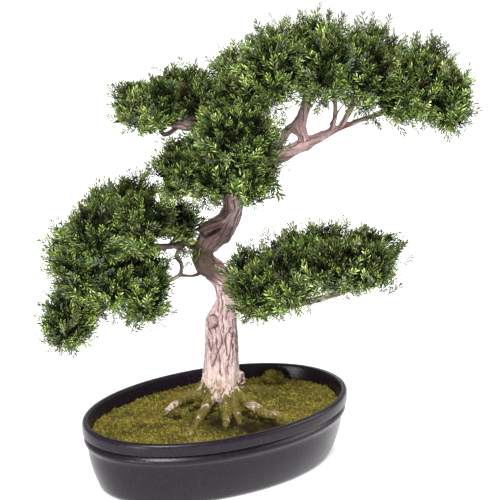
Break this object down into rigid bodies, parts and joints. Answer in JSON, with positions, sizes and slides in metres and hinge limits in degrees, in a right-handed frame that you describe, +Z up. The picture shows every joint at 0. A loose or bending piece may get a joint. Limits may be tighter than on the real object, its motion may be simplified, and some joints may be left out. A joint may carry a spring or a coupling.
{
  "type": "bonsai tree in pot",
  "caption": "Twisted-trunk cedar bonsai with spread roots and flat clouds of feathery sprigs, standing in moss in a dark oval pot.",
  "frame": {"origin": "middle of the flat underside of the pot, on the surface that it stands on", "axes": "+X along the long axis of the oval pot, +Y across it towards the side that the trunk stands nearer to, +Z up"},
  "size_m": [0.5084, 0.3495, 0.5304],
  "materials": {
    "pot_plastic": "satin",
    "soil": "matte",
    "moss": "matte",
    "bark": "matte",
    "foliage": "matte"
  },
  "bodies": {
    "root": {"pot": "pot_plastic", "soil": "soil", "moss": "moss", "wood": "bark", "foliage_crown_1_front": "foliage", "foliage_crown_1_back": "foliage", "foliage_crown_2_front": "foliage", "foliage_crown_2_back": "foliage", "foliage_crown_3_front": "foliage", "foliage_crown_3_back": "foliage", "foliage_crown_4_front": "foliage", "foliage_crown_4_back": "foliage", "foliage_right_1_front": "foliage", "foliage_right_1_back": "foliage", "foliage_right_2_front": "foliage", "foliage_right_2_back": "foliage", "foliage_right_3_front": "foliage", "foliage_right_3_back": "foliage", "foliage_upper_left_1_front": "foliage", "foliage_upper_left_1_back": "foliage", "foliage_upper_left_2_front": "foliage", "foliage_upper_left_2_back": "foliage", "foliage_upper_left_3_front": "foliage", "foliage_upper_left_3_back": "foliage", "foliage_middle_1_front": "foliage", "foliage_middle_1_back": "foliage", "foliage_middle_2_front": "foliage", "foliage_middle_2_back": "foliage", "foliage_middle_3_front": "foliage", "foliage_middle_3_back": "foliage", "foliage_middle_4_front": "foliage", "foliage_middle_4_back": "foliage", "foliage_left_1_front": "foliage", "foliage_left_1_back": "foliage", "foliage_left_2_front": "foliage", "foliage_left_2_back": "foliage", "foliage_left_3_front": "foliage", "foliage_left_3_back": "foliage", "foliage_left_4_front": "foliage", "foliage_left_4_back": "foliage", "foliage_left_5_front": "foliage", "foliage_left_5_back": "foliage", "foliage_left_6_front": "foliage", "foliage_left_6_back": "foliage", "foliage_inner_1": "foliage", "foliage_low_right_1_front": "foliage", "foliage_low_right_1_back": "foliage", "foliage_low_right_2_front": "foliage", "foliage_low_right_2_back": "foliage", "foliage_low_right_3_front": "foliage", "foliage_low_right_3_back": "foliage", "foliage_low_right_4_front": "foliage", "foliage_low_right_4_back": "foliage"}
  },
  "joints": []
}
